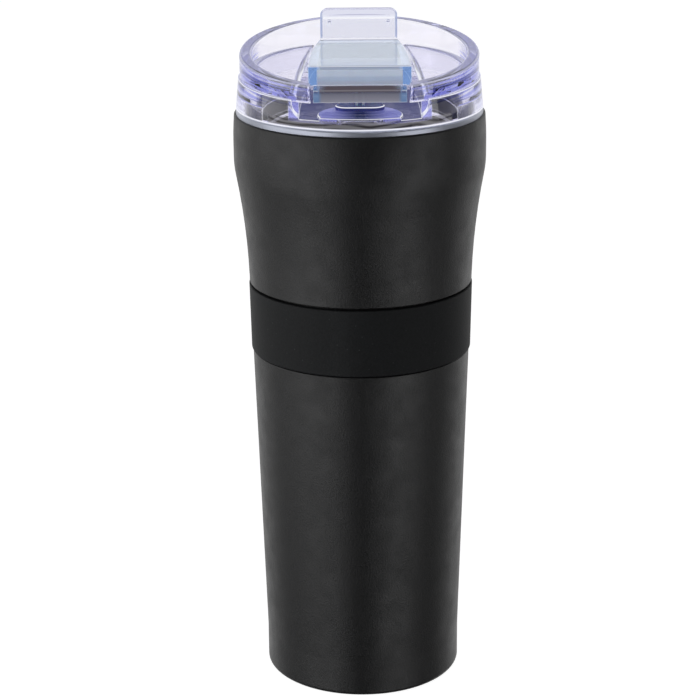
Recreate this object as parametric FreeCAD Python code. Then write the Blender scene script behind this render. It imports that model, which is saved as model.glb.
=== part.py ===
"""Insulated tumbler with a push-in clear lid and a flip lever.

A double-wall steel cup carries a silicone grip band in a rolled groove. The lid is one clear
moulding: a slanted rim, side floors that drain forwards, a well that runs from the back wall to a
mouth at the front, and a plug skirt with a silicone gasket. A clear lever pivots in the well, and
its silicone stopper closes the drink slot and the vent.

Millimetres, +Z up, origin at the centre of the foot, the drinking side towards -Y.
"""

import FreeCAD, Part
import math
import os

V = FreeCAD.Vector
UP = V(0, 0, 1)
ACROSS = V(1, 0, 0)

# ---- cup: outer wall -----------------------------------------------------------------------------
BODY_R = 41.38  # widest outer radius, just under the mouth
FOOT_R = 33.15
FOOT_CORNER = 1.5
FOOT_STRAIGHT_Z = 13.0  # the lowest stretch of wall is a true cylinder
WAIST_R, WAIST_Z = 37.05, 140.0  # the taper ends and the flare starts
FLARE_ARC = 225.0
SHOULDER_Z = 175.0  # the concave flare meets the convex shoulder
CROWN_Z, CROWN_ARC = 185.0, 125.0  # above this the wall leans in towards the lip
SHELL_TOP_Z = 194.75
SHELL_TOP_ROUND, SHELL_TOP_TURN = 0.5, 0.25  # the inner arc stops this many degrees short

# ---- cup: walls and lip --------------------------------------------------------------------------
SHEET = 0.5  # steel thickness
VACUUM_GAP = 2.5
LIP_R, LIP_TOP_Z, LIP_ROUND = 40.3, 196.75, 0.7
HEM_LOW_Z = 191.5  # the liner's rolled hem reaches this far down inside the shell
LINER_WELD_Z = 14.0  # the liner tube is welded to its dished bottom here
LINER_FLOOR_Z = 7.7
LINER_CORNER = 4.0
FOIL_THICK, FOIL_LOW_Z, FOIL_HIGH_Z = 0.1, 20.0, 138.0

# ---- cup: grip band ------------------------------------------------------------------------------
BAND_LOW_Z, BAND_HIGH_Z = 115.3, 137.6
BAND_LOW_R, BAND_HIGH_R = 36.75, 37.2
BAND_THICK = 1.85
BAND_ROUND = 0.35
BAND_CLEAR = 0.05  # band to groove floor
GROOVE_GAP_LOW, GROOVE_GAP_HIGH = 0.35, 0.75  # open line below and above the band
GROOVE_ROUND = 0.3

# ---- cup: bottom ---------------------------------------------------------------------------------
FOOT_RING_R, RECESS_R = 29.0, 26.8  # the flat standing ring and the recess inside it
RECESS_Z = 1.6
RECESS_ROUND = 0.6
DIMPLE_R, DIMPLE_DEPTH, EVACUATION_R = 4.0, 1.2, 0.8
BEAD_R, BEAD_LOW_Z = 2.9, 1.75
COVER_R, COVER_LOW_Z, COVER_ROUND = 26.4, 0.8, 0.3
GETTER_X, GETTER_R, GETTER_HIGH, GETTER_WALL = 15.0, 5.0, 2.8, 0.3

# ---- lid: flange, rim and floors -----------------------------------------------------------------
SEAT_GAP = 0.02  # flange above the steel lip
FLANGE_LOW_R, FLANGE_HIGH_R, FLANGE_CONE = 40.35, 39.2, 12.0  # radii of the draft, and its height
FLANGE_LAP = 1.0  # the flange runs this far into the ring
# a tilted face has its height on the axis, and its rise per mm towards the back
FLANGE_TOP_Z, FLANGE_TILT = 206.9, 0.05
FLANGE_ROUND = 0.45
RING_R, RING_IN = 38.9, 34.85
RIM_Z, RIM_TILT = 214.8, 0.135
RIM_ROUND = 1.0
FLOOR_Z, FLOOR_TILT = 208.8, 0.071
FLOOR_THICK = 2.2
FLOOR_ROUND = 1.5

# ---- lid: plug and gasket ------------------------------------------------------------------------
SKIRT_R, SKIRT_IN, SKIRT_LOW_Z, SKIRT_ROUND = 36.6, 34.3, 185.8, 0.8
SEAL_LOW_Z, SEAL_HIGH_Z, SEAL_DEPTH = 187.6, 192.6, 1.1
SEAL_CLEAR = 0.05  # gasket to groove, and gasket to liner
LIP_BASE_R = 36.95  # gasket between its two lips
CORE_OUT, CORE_TOP_Z, CORE_FRONT_HALF = 38.5, 200.9, 30.0  # groove under the flange, absent near the mouth

# ---- lid: well, mouth and openings ---------------------------------------------------------------
WELL_HALF, WELL_FRONT_Y, WELL_ARC = 19.1, -25.2, 330.0  # the sides curve in behind WELL_FRONT_Y
WELL_FLOOR_Z, WELL_WALL = 199.7, 2.0
WELL_EDGE_ROUND, WELL_EDGE_STEP = 1.6, 0.02  # the rounding stops a hair past the wall's face
MOUTH_HALF, MOUTH_TOP_Z, MOUTH_CORNER = 21.5, 204.7, 4.0
MOUTH_BACK_R = 35.6  # the mouth's side pockets end on this wall
MOUTH_EDGE_ROUND, MOUTH_LAP = 0.35, 0.5
MOUTH_INNER_Y = -26.0  # the mouth's tools run in to here, inside the well
FLANGE_GAP_Y = -30.0  # in front of this the flange is open over the mouth
WELL_START_Y = -34.0  # the well's own tool starts here, inside the ring's front wall
NOTCH_HALF, NOTCH_BACK_Y = 15.4, -20.0  # the rim stops on both sides of the mouth
SPOUT_RISE, SPOUT_HALF, SPOUT_ROUND = 0.8, 12.7, 0.6  # raised arch-shaped pour lip
SPOUT_FRONT_Y, SPOUT_BACK_Y = -36.0, -18.5  # where the arch starts and ends
SLOT_Y, SLOT_LONG, SLOT_WIDE, SLOT_ROUND = -24.5, 13.0, 5.2, 0.5
VENT_Y, VENT_R = -6.0, 1.3

# ---- lever ---------------------------------------------------------------------------------------
HINGE_Y, HINGE_Z = 13.0, 206.5
PIVOT_R, PIVOT_CLEAR, PIVOT_REACH = 1.6, 0.06, 1.2
EAR_R, EAR_THICK = 3.4, 2.4
LEVER_GAP = 3.0  # lever side to well side
LEVER_TOP_Z, LEVER_LOW_Z = 215.1, 209.0
LEVER_FRONT_Y, LEVER_BACK_Y = -29.5, 18.4
LEVER_ROUND = 0.5
PLATE_THICK = 1.4
WALL = 1.5  # front wall, cross wall, apron and cheeks
PAD_HALF_FRONT, PAD_HALF_BACK, PAD_BACK_Y, PAD_CORNER = 13.4, 12.3, 11.5, 4.5
LEDGE_HALF, LEDGE_FRONT_Y, LEDGE_THICK, LEDGE_ROUND = 14.5, -37.0, 1.7, 0.8
APRON_LOW_Z = 205.1
CHEEK_RISE, LEDGE_RISE = 1.0, 0.1
TAB_HALF, TAB_THICK, TAB_CORNER = 12.7, 1.8, 2.5
TAB_BEND_Z, TAB_BEND_R = 222.5, 2.6  # the bend's height is that of its sharp corner
TAB_LEAN_DEG, TAB_LIP = 35.0, 3.3
TAB_ROOT_ROUND, TAB_EDGE_ROUND = 1.2, 0.6
RIB_X, RIB_THICK, RIB_LOW, RIB_HIGH, RIB_ROOT = 9.7, 1.1, 2.7, 1.0, 0.3

# ---- silicone stopper ----------------------------------------------------------------------------
STOPPER_CLEAR = 0.05
PLUG_RIM, PLUG_THICK, PLUG_ROUND = 1.2, 1.2, 0.45  # the plug's shoulder stands PLUG_RIM past the slot
STEM_X, STEM_WIDE, STEM_DEEP = 1.1, 0.9, 4.0  # two upright ribs carry the plug
NUB_CLEAR, NUB_DEEP = 0.5, 0.6
VENT_PLUG_R, VENT_NUB_R = 2.2, 0.85

# ---- working values ------------------------------------------------------------------------------
REACH = 60.0  # cutting tools reach past the lid on every side
LID_UNDER_Z, LID_OVER_Z = SKIRT_LOW_Z - 1, 230.0
HAIR = 0.1  # slack when an edge is picked by its place


# ---- small helpers -------------------------------------------------------------------------------
def outline(start, *steps):
    """Closed face in the XZ plane. A step is a line's end, or an arc's middle and end as a pair."""
    edges = []
    at = V(start[0], 0, start[1])
    for step in steps + (start,):
        arc = isinstance(step[0], tuple)
        end = V(step[1][0], 0, step[1][1]) if arc else V(step[0], 0, step[1])
        if arc:
            edges.append(Part.Arc(at, V(step[0][0], 0, step[0][1]), end).toShape())
        elif at.distanceToPoint(end) > 1e-6:
            edges.append(Part.LineSegment(at, end).toShape())
        at = end
    return Part.Face(Part.Wire(edges))


def arc(centre, radius, from_deg, to_deg):
    """Outline step: the middle and end of an arc."""
    def at(degrees):
        angle = math.radians(degrees)
        return (centre[0] + radius * math.cos(angle), centre[1] + radius * math.sin(angle))
    return (at((from_deg + to_deg) / 2), at(to_deg))


def spin(face):
    return face.revolve(V(0, 0, 0), UP, 360)


def across(face, half):
    """Turn an XZ face into the YZ plane and extrude it to both sides of X = 0."""
    turned = face.copy()
    turned.rotate(V(0, 0, 0), UP, 90)
    turned.translate(V(-half, 0, 0))
    return turned.extrude(ACROSS * (2 * half))


def block(x0, x1, y0, y1, z0, z1):
    return Part.makeBox(x1 - x0, y1 - y0, z1 - z0, V(x0, y0, z0))


def disc(radius, z0, z1, x=0.0, y=0.0):
    return Part.makeCylinder(radius, z1 - z0, V(x, y, z0))


def tube(outer, inner, z0, z1):
    return disc(outer, z0, z1).cut(disc(inner, z0 - 1, z1 + 1))


def stadium(long, wide, y, z0, z1):
    """Upright prism with a stadium plan, long along X."""
    half = (long - wide) / 2
    ends = [disc(wide / 2, z0, z1, x, y) for x in (-half, half)]
    return block(-half, half, y - wide / 2, y + wide / 2, z0, z1).multiFuse(ends).removeSplitter()


def cross_pin(radius, x0, x1):
    """Cylinder on the hinge axis."""
    return Part.makeCylinder(radius, x1 - x0, V(x0, HINGE_Y, HINGE_Z), ACROSS)


def over_plane(height, tilt):
    """Everything over a plane that passes through the axis at this height and rises towards the back."""
    slab = block(-REACH, REACH, -REACH, REACH, 0, REACH)
    slab.rotate(V(0, 0, 0), ACROSS, math.degrees(math.atan(tilt)))
    slab.translate(V(0, 0, height))
    return slab


def rounded(shape, radius, test):
    """Fillet the edges whose middle point passes the test."""
    def middle(edge):
        return edge.valueAt((edge.FirstParameter + edge.LastParameter) / 2)
    chosen = [edge for edge in shape.Edges if not edge.Degenerated and test(middle(edge), edge)]
    return shape.makeFillet(radius, chosen)


def radius_of(point):
    return math.hypot(point.x, point.y)


def near(a, b, within=0.05):
    return abs(a - b) < within


# ---- cup -----------------------------------------------------------------------------------------
TAPER = math.atan((WAIST_R - FOOT_R) / (WAIST_Z - FOOT_STRAIGHT_Z))
SHOULDER_LEAN = math.asin(math.sin(TAPER) + (SHOULDER_Z - WAIST_Z) / FLARE_ARC)
FLARE_CENTRE = (WAIST_R + FLARE_ARC * math.cos(TAPER), WAIST_Z - FLARE_ARC * math.sin(TAPER))
SHOULDER_R = FLARE_CENTRE[0] - FLARE_ARC * math.cos(SHOULDER_LEAN)
SHOULDER_ARC = (BODY_R - SHOULDER_R) / (1 - math.cos(SHOULDER_LEAN))
SHOULDER_TOP_Z = SHOULDER_Z + SHOULDER_ARC * math.sin(SHOULDER_LEAN)
CROWN_LEAN = math.degrees(math.asin((SHELL_TOP_Z - CROWN_Z) / CROWN_ARC))


def taper_r(z, inset=0.0):
    """Radius of the tapered wall, or of a wall this far inside it."""
    return FOOT_R + (z - FOOT_STRAIGHT_Z) * math.tan(TAPER) - inset / math.cos(TAPER)


def rising_wall(inset):
    """Outline steps up one wall from the waist to the vertical stretch, this far inside the outside."""
    taper, lean = math.degrees(TAPER), math.degrees(SHOULDER_LEAN)
    shoulder_centre = (BODY_R - SHOULDER_ARC, SHOULDER_TOP_Z)
    return [
        arc(FLARE_CENTRE, FLARE_ARC + inset, 180 - taper, 180 - taper)[1],
        arc(FLARE_CENTRE, FLARE_ARC + inset, 180 - taper, 180 - lean),
        arc(shoulder_centre, SHOULDER_ARC - inset, -lean, 0),
    ]


def falling(steps, start):
    """The same steps walked backwards, ending at start."""
    points = [start] + [step[1] if isinstance(step[0], tuple) else step for step in steps]
    back = []
    for index in range(len(steps) - 1, -1, -1):
        step, target = steps[index], points[index]
        back.append((step[0], target) if isinstance(step[0], tuple) else target)
    return back


def band_r(z):
    return BAND_LOW_R + (BAND_HIGH_R - BAND_LOW_R) * (z - BAND_LOW_Z) / (BAND_HIGH_Z - BAND_LOW_Z)


def outer_shell():
    """Coated outer wall: turned-in foot, taper, band groove, flare, shoulder and turned-in top edge."""
    low, high = BAND_LOW_Z - GROOVE_GAP_LOW, BAND_HIGH_Z + GROOVE_GAP_HIGH
    foot = (FOOT_R - FOOT_CORNER, FOOT_CORNER)
    crown = (BODY_R - CROWN_ARC, CROWN_Z)
    outside = [
        arc(foot, FOOT_CORNER, -90, 0),
        (FOOT_R, FOOT_STRAIGHT_Z),
        (taper_r(low), low),
        (band_r(low) - BAND_THICK - BAND_CLEAR, low),
        (band_r(high) - BAND_THICK - BAND_CLEAR, high),
        (taper_r(high), high),
        *rising_wall(0),
        (BODY_R, CROWN_Z),
        arc(crown, CROWN_ARC, 0, CROWN_LEAN),
        (LIP_R, SHELL_TOP_Z),
    ]
    start_in = (FOOT_RING_R, SHEET)
    inside = [
        (FOOT_R - FOOT_CORNER, SHEET),
        arc(foot, FOOT_CORNER - SHEET, -90, 0),
        (FOOT_R - SHEET, FOOT_STRAIGHT_Z),
        (taper_r(low - SHEET, SHEET), low - SHEET),
        (band_r(low) - BAND_THICK - BAND_CLEAR - SHEET, low - SHEET),
        (band_r(high) - BAND_THICK - BAND_CLEAR - SHEET, high + SHEET),
        (taper_r(high + SHEET, SHEET), high + SHEET),
        *rising_wall(SHEET),
        (BODY_R - SHEET, CROWN_Z),
        arc(crown, CROWN_ARC - SHEET, 0, CROWN_LEAN - SHELL_TOP_TURN),
        (LIP_R, SHELL_TOP_Z - SHEET),
    ]
    shell = spin(outline(
        (FOOT_RING_R, 0), (FOOT_R - FOOT_CORNER, 0), *outside, inside[-1], *falling(inside, start_in)
    ))
    for z in (low, high):
        shell = rounded(
            shell, GROOVE_ROUND, lambda p, e: near(p.z, z, 0.01) and near(radius_of(p), taper_r(z))
        )
    return rounded(
        shell, SHELL_TOP_ROUND, lambda p, e: near(p.z, SHELL_TOP_Z, 0.01) and radius_of(p) > LIP_R + HAIR
    )


LINER_INSET = SHEET + VACUUM_GAP
MOUTH_R = BODY_R - LINER_INSET - SHEET  # inside of the liner at the mouth


def inner_liner():
    """Drawn tube that follows the outer wall, then stands straight and rolls out into the lip."""
    inner = LINER_INSET + SHEET
    inside_corner = LIP_ROUND - SHEET
    outer_start = (taper_r(LINER_WELD_Z, LINER_INSET), LINER_WELD_Z)
    inner_start = (taper_r(LINER_WELD_Z, inner), LINER_WELD_Z)
    roll = [
        (MOUTH_R + SHEET, LIP_TOP_Z - LIP_ROUND),
        arc((MOUTH_R + LIP_ROUND, LIP_TOP_Z - LIP_ROUND), inside_corner, 180, 90),
        (LIP_R - LIP_ROUND, LIP_TOP_Z - SHEET),
        arc((LIP_R - LIP_ROUND, LIP_TOP_Z - LIP_ROUND), inside_corner, 90, 0),
        (LIP_R - SHEET, HEM_LOW_Z),
        (LIP_R, HEM_LOW_Z),
        (LIP_R, LIP_TOP_Z - LIP_ROUND),
        arc((LIP_R - LIP_ROUND, LIP_TOP_Z - LIP_ROUND), LIP_ROUND, 0, 90),
        (MOUTH_R + LIP_ROUND, LIP_TOP_Z),
        arc((MOUTH_R + LIP_ROUND, LIP_TOP_Z - LIP_ROUND), LIP_ROUND, 90, 180),
        (MOUTH_R, SHOULDER_TOP_Z),
    ]
    back_down = falling(rising_wall(inner), inner_start)
    return spin(outline(outer_start, *rising_wall(LINER_INSET), *roll, *back_down))


def liner_bottom():
    """Dished bottom welded to the liner tube."""
    outer_r = taper_r(LINER_WELD_Z, LINER_INSET)
    inner_r = taper_r(LINER_WELD_Z, LINER_INSET + SHEET)
    centre = (inner_r - LINER_CORNER, LINER_FLOOR_Z + LINER_CORNER)
    return spin(outline(
        (0, LINER_FLOOR_Z - SHEET),
        (centre[0], LINER_FLOOR_Z - SHEET),
        arc(centre, LINER_CORNER + SHEET, -90, 0),
        (outer_r, LINER_WELD_Z),
        (inner_r, LINER_WELD_Z),
        (inner_r, centre[1]),
        arc(centre, LINER_CORNER, 0, -90),
        (0, LINER_FLOOR_Z),
    ))


def copper_foil():
    outer = LINER_INSET - FOIL_THICK
    return spin(outline(
        (taper_r(FOIL_LOW_Z, LINER_INSET), FOIL_LOW_Z),
        (taper_r(FOIL_LOW_Z, outer), FOIL_LOW_Z),
        (taper_r(FOIL_HIGH_Z, outer), FOIL_HIGH_Z),
        (taper_r(FOIL_HIGH_Z, LINER_INSET), FOIL_HIGH_Z),
    ))


def grip_band():
    low, high = band_r(BAND_LOW_Z), band_r(BAND_HIGH_Z)
    band = spin(outline(
        (low - BAND_THICK, BAND_LOW_Z),
        (low, BAND_LOW_Z),
        (high, BAND_HIGH_Z),
        (high - BAND_THICK, BAND_HIGH_Z),
    ))
    return rounded(band, BAND_ROUND, lambda p, e: near(radius_of(p), band_r(p.z)))


def outer_bottom():
    """Stamped bottom: level with the foot ring, stepped up to a recess, with a dimple and its hole."""
    top = RECESS_Z + SHEET
    dimple = RECESS_Z + DIMPLE_DEPTH
    bottom = spin(outline(
        (EVACUATION_R, dimple),
        (DIMPLE_R, dimple),
        (DIMPLE_R, RECESS_Z),
        (RECESS_R, RECESS_Z),
        (RECESS_R, 0),
        (FOOT_RING_R, 0),
        (FOOT_RING_R, SHEET),
        (RECESS_R + SHEET, SHEET),
        (RECESS_R + SHEET, top),
        (DIMPLE_R + SHEET, top),
        (DIMPLE_R + SHEET, dimple + SHEET),
        (EVACUATION_R, dimple + SHEET),
    ))
    return rounded(
        bottom, RECESS_ROUND, lambda p, e: near(radius_of(p), RECESS_R + SHEET) and near(p.z, top)
    )


def sealing_bead():
    """Glass bead: a flattened drop in the dimple with a neck that fills the hole."""
    dimple = RECESS_Z + DIMPLE_DEPTH
    sag = dimple - BEAD_LOW_Z
    round_r = (BEAD_R ** 2 + sag ** 2) / (2 * sag)
    half_angle = math.degrees(math.asin(BEAD_R / round_r))
    return spin(outline(
        (0, BEAD_LOW_Z),
        arc((0, BEAD_LOW_Z + round_r), round_r, -90, -90 + half_angle),
        (EVACUATION_R, dimple),
        (EVACUATION_R, dimple + SHEET),
        (0, dimple + SHEET),
    ))


def base_cover():
    cover = disc(COVER_R, COVER_LOW_Z, RECESS_Z)
    return rounded(cover, COVER_ROUND, lambda p, e: near(p.z, COVER_LOW_Z))


def getter_cup():
    floor = RECESS_Z + SHEET
    cup = disc(GETTER_R, floor, floor + GETTER_HIGH, GETTER_X)
    return cup.cut(disc(GETTER_R - GETTER_WALL, floor + GETTER_WALL, floor + GETTER_HIGH + 1, GETTER_X))


def getter_pellet():
    floor = RECESS_Z + SHEET + GETTER_WALL
    return disc(GETTER_R - GETTER_WALL, floor, floor + GETTER_HIGH - 2 * GETTER_WALL, GETTER_X)


# ---- lid -----------------------------------------------------------------------------------------
SEAT_Z = LIP_TOP_Z + SEAT_GAP


def channel_half(inset, y):
    """Half width of the well at a place along it, or of a shape this far inside the well."""
    radius = WELL_ARC - inset
    bend = max(0.0, y - WELL_FRONT_Y)
    return WELL_HALF - inset - (radius - math.sqrt(radius ** 2 - bend ** 2))


def channel(inset, y0, y1, z0, z1):
    """Upright prism with the well's plan, its sides moved in by inset."""
    def side(sign):
        edges = []
        front = V(sign * channel_half(inset, y0), y0, z0)
        start = max(y0, WELL_FRONT_Y)
        bend = V(sign * channel_half(inset, start), start, z0)
        middle_y = (start + y1) / 2
        middle = V(sign * channel_half(inset, middle_y), middle_y, z0)
        back = V(sign * channel_half(inset, y1), y1, z0)
        if front.distanceToPoint(bend) > 1e-6:
            edges.append(Part.LineSegment(front, bend).toShape())
        edges.append(Part.Arc(bend, middle, back).toShape())
        return front, back, edges
    front_left, back_left, left = side(-1)
    front_right, back_right, right = side(1)
    front_end = Part.LineSegment(front_left, front_right).toShape()
    back_end = Part.LineSegment(back_left, back_right).toShape()
    plan = Part.Wire(Part.__sortEdges__(left + right + [front_end, back_end]))
    return Part.Face(plan).extrude(V(0, 0, z1 - z0))


def on_plane(point, height, tilt):
    """Whether the point lies on a tilted face of the lid, and not down at the seat."""
    return near(point.z, height + tilt * point.y) and point.z > SEAT_Z + FLOOR_THICK


def lid_blank():
    """Ring wall with the slanted rim, tilted floor, seat flange and plug skirt, before anything is cut."""
    ring = tube(RING_R, RING_IN, SEAT_Z, LID_OVER_Z).cut(over_plane(RIM_Z, RIM_TILT))
    ring = rounded(ring, RIM_ROUND, lambda p, e: on_plane(p, RIM_Z, RIM_TILT))
    floor = disc(RING_IN, SEAT_Z, LID_OVER_Z).cut(over_plane(FLOOR_Z, FLOOR_TILT))
    blank = ring.fuse(floor).removeSplitter()
    blank = rounded(
        blank, FLOOR_ROUND,
        lambda p, e: on_plane(p, FLOOR_Z, FLOOR_TILT) and near(radius_of(p), RING_IN)
    )
    blank = blank.cut(block(-NOTCH_HALF, NOTCH_HALF, -REACH, NOTCH_BACK_Y, MOUTH_TOP_Z, LID_OVER_Z))

    def on_notch_side(point):
        return near(abs(point.x), NOTCH_HALF, 0.001)
    blank = rounded(
        blank, RIM_ROUND,
        lambda p, e: on_notch_side(p) and on_notch_side(e.valueAt(e.FirstParameter))
        and p.z > MOUTH_TOP_Z + HAIR and p.y < LEVER_FRONT_Y
    )
    flange = Part.makeCone(FLANGE_LOW_R, FLANGE_HIGH_R, FLANGE_CONE, V(0, 0, SEAT_Z))
    flange = flange.cut(over_plane(FLANGE_TOP_Z, FLANGE_TILT))
    flange = rounded(flange, FLANGE_ROUND, lambda p, e: on_plane(p, FLANGE_TOP_Z, FLANGE_TILT))
    flange = flange.cut(disc(RING_IN + FLANGE_LAP, SEAT_Z - 1, LID_OVER_Z))
    skirt = disc(SKIRT_R, SKIRT_LOW_Z, SEAT_Z + 1)
    skirt = rounded(skirt, SKIRT_ROUND, lambda p, e: near(p.z, SKIRT_LOW_Z))
    return blank.fuse(flange).fuse(skirt)


def spout_platform():
    """Arch-shaped raised lip round the drink slot, running out past the front edge of the mouth."""
    root, half, line = WELL_FLOOR_Z - SPOUT_ROUND, SPOUT_HALF, SPOUT_FRONT_Y
    points = [V(x, y, root) for x, y in ((-half, -REACH), (-half, line), (half, line), (half, -REACH))]
    edges = [
        Part.LineSegment(points[0], points[1]).toShape(),
        Part.Arc(points[1], V(0, SPOUT_BACK_Y, root), points[2]).toShape(),
        Part.LineSegment(points[2], points[3]).toShape(),
        Part.LineSegment(points[3], points[0]).toShape(),
    ]
    platform = Part.Face(Part.Wire(edges)).extrude(V(0, 0, SPOUT_RISE + WELL_FLOOR_Z - root))
    top = WELL_FLOOR_Z + SPOUT_RISE
    return rounded(platform, SPOUT_ROUND, lambda p, e: near(p.z, top) and p.y > 1 - REACH)


def open_space():
    """The well and the mouth, as one tool shape."""
    def hollow(half, back, low, high):
        return block(-half, half, -REACH, back, low, high)
    whole = (LID_UNDER_Z, LID_OVER_Z)
    well = channel(0, WELL_START_Y, REACH, WELL_FLOOR_Z, LID_OVER_Z).common(disc(RING_IN, *whole))
    mouth = hollow(MOUTH_HALF, MOUTH_INNER_Y, WELL_FLOOR_Z, MOUTH_TOP_Z)
    mouth = rounded(
        mouth, MOUTH_CORNER, lambda p, e: near(p.z, WELL_FLOOR_Z) and near(abs(p.x), MOUTH_HALF)
    ).cut(disc(MOUTH_BACK_R, *whole))
    passage = hollow(WELL_HALF, MOUTH_INNER_Y, WELL_FLOOR_Z, MOUTH_TOP_Z)
    over_mouth = MOUTH_TOP_Z - MOUTH_LAP
    flange_gap = hollow(MOUTH_HALF, FLANGE_GAP_Y, over_mouth, FLANGE_TOP_Z).cut(disc(RING_R, *whole))
    notch = hollow(NOTCH_HALF, FLANGE_GAP_Y, over_mouth, FLANGE_TOP_Z)
    return well.multiFuse([mouth, passage, flange_gap, notch]).cut(spout_platform())


def well_edge(sign):
    """Tool that rounds one long edge where a side floor drops into the well."""
    r, step = WELL_EDGE_ROUND, WELL_EDGE_STEP
    centre = (sign * (WELL_HALF + r), -r - step)
    section = outline(
        (sign * WELL_HALF, -r - step),
        arc(centre, r, 90 + sign * 90, 90),
        (sign * (WELL_HALF + r), FLOOR_ROUND),
        (sign * (WELL_HALF - 1), FLOOR_ROUND),
        (sign * (WELL_HALF - 1), -r - step),
    )
    section.translate(V(0, WELL_FRONT_Y, 0))
    turning_centre = V(sign * (WELL_HALF - WELL_ARC), WELL_FRONT_Y, 0)
    turn = math.degrees(math.asin((RING_IN - WELL_FRONT_Y) / WELL_ARC))
    curved = section.revolve(turning_centre, UP, sign * turn)
    straight = section.extrude(V(0, WELL_START_Y - WELL_FRONT_Y, 0))
    tool = curved.fuse(straight)
    tool.rotate(V(0, 0, 0), ACROSS, math.degrees(math.atan(FLOOR_TILT)))
    tool.translate(V(0, 0, FLOOR_Z))
    return tool.common(disc(RING_IN - HAIR, LID_UNDER_Z, LID_OVER_Z))


def lid_body():
    lid = lid_blank()
    under = disc(SKIRT_IN, LID_UNDER_Z, LID_OVER_Z).cut(over_plane(FLOOR_Z - FLOOR_THICK, FLOOR_TILT))
    under = under.cut(channel(-WELL_WALL, -REACH, REACH, WELL_FLOOR_Z - WELL_WALL, LID_OVER_Z))
    core = tube(CORE_OUT, SKIRT_R, SEAT_Z - 1, CORE_TOP_Z)
    core = core.cut(block(-CORE_FRONT_HALF, CORE_FRONT_HALF, -REACH, 0, LID_UNDER_Z, LID_OVER_Z))
    seal = tube(SKIRT_R + 1, SKIRT_R - SEAL_DEPTH, SEAL_LOW_Z, SEAL_HIGH_Z)
    socket_half = channel_half(0, HINGE_Y) + PIVOT_REACH + PIVOT_CLEAR
    sockets = cross_pin(PIVOT_R + PIVOT_CLEAR, -socket_half, socket_half)
    slot_top = WELL_FLOOR_Z + SPOUT_RISE
    slot = stadium(SLOT_LONG, SLOT_WIDE, SLOT_Y, LID_UNDER_Z, slot_top + 1)
    vent = disc(VENT_R, LID_UNDER_Z, WELL_FLOOR_Z + 1, 0, VENT_Y)
    for tool in (under, core, seal, open_space(), sockets, slot, vent):
        lid = lid.cut(tool)

    def on_slot_rim(point):
        inside_x = abs(point.x) < SLOT_LONG / 2 + HAIR
        inside_y = abs(point.y - SLOT_Y) < SLOT_WIDE / 2 + HAIR
        return near(point.z, slot_top) and inside_x and inside_y

    def on_mouth_edge(point, edge):
        level = near(point.z, slot_top, 0.01) or near(point.z, WELL_FLOOR_Z, 0.01)
        outside = radius_of(point) > RING_R and point.y < FLANGE_GAP_Y
        return edge.Curve.TypeId == "Part::GeomCircle" and level and outside
    lid = rounded(lid, SLOT_ROUND, lambda p, e: on_slot_rim(p))
    lid = rounded(lid, MOUTH_EDGE_ROUND, on_mouth_edge)
    for sign in (-1, 1):
        lid = lid.cut(well_edge(sign))
    return lid


def lid_gasket():
    """Silicone ring with two rounded lips, a touch smaller than the liner's mouth."""
    inner, outer = SKIRT_R - SEAL_DEPTH + SEAL_CLEAR, MOUTH_R - SEAL_CLEAR
    low, high = SEAL_LOW_Z + SEAL_CLEAR, SEAL_HIGH_Z - SEAL_CLEAR
    lip = (high - low) / 4
    bulge = [((outer, low + k * lip), (LIP_BASE_R, low + (k + 1) * lip)) for k in (1, 3)]
    return spin(outline((inner, low), (LIP_BASE_R, low), *bulge, (inner, high)))


# ---- lever ---------------------------------------------------------------------------------------
def pad_plan(shrink, z0, z1):
    """Upright prism of the silicone insert's plan: tapered sides and round back corners."""
    front_line, back_line = LEVER_FRONT_Y + WALL, PAD_BACK_Y
    narrowing = (PAD_HALF_FRONT - PAD_HALF_BACK) / (back_line - front_line)
    front, back = front_line + shrink, back_line - shrink
    half_front = PAD_HALF_FRONT - shrink * (1 + narrowing)
    half_back = half_front - narrowing * (back - front)
    corners = [(-half_front, front), (half_front, front), (half_back, back), (-half_back, back)]
    wire = Part.makePolygon([V(x, y, z0) for x, y in corners + corners[:1]])
    prism = Part.Face(wire).extrude(V(0, 0, z1 - z0))
    return rounded(prism, PAD_CORNER - shrink, lambda p, e: near(p.y, back) and near(abs(p.x), half_back))


def lever_block():
    """Top plate with side walls, a front wall and a cross wall behind the insert."""
    body = channel(LEVER_GAP, LEVER_FRONT_Y, LEVER_BACK_Y, LEVER_LOW_Z, LEVER_TOP_Z)
    body = rounded(
        body, LEVER_ROUND, lambda p, e: near(p.z, LEVER_TOP_Z) and not near(p.y, LEVER_BACK_Y)
    )
    rear_half = channel_half(LEVER_GAP, HINGE_Y) - EAR_THICK
    back = LEVER_BACK_Y + 1
    rear = block(-rear_half, rear_half, PAD_BACK_Y + WALL, back, LEVER_LOW_Z - 1, LEVER_TOP_Z - PLATE_THICK)
    return body.cut(rear)


def lever_front():
    """Ledge in front of the block, its apron in the rim's notch, and a cheek under each of its ends."""
    ledge_top, back = LEVER_LOW_Z + LEDGE_RISE, LEVER_FRONT_Y + WALL
    corner = (LEDGE_FRONT_Y + LEDGE_ROUND, ledge_top - LEDGE_ROUND)
    section = outline(
        (back, ledge_top - LEDGE_THICK),
        (back, ledge_top),
        (corner[0], ledge_top),
        arc(corner, LEDGE_ROUND, 90, 180),
        (LEDGE_FRONT_Y, APRON_LOW_Z),
        (LEDGE_FRONT_Y + WALL, APRON_LOW_Z),
        (LEDGE_FRONT_Y + WALL, ledge_top - LEDGE_THICK),
    )
    front = across(section, LEDGE_HALF)
    cheeks = []
    for x in (-LEDGE_HALF, LEDGE_HALF - WALL):
        cheeks.append(block(
            x, x + WALL, LEDGE_FRONT_Y + WALL, back, APRON_LOW_Z + CHEEK_RISE, ledge_top - LEDGE_THICK
        ))
    return front.multiFuse(cheeks)


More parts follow.
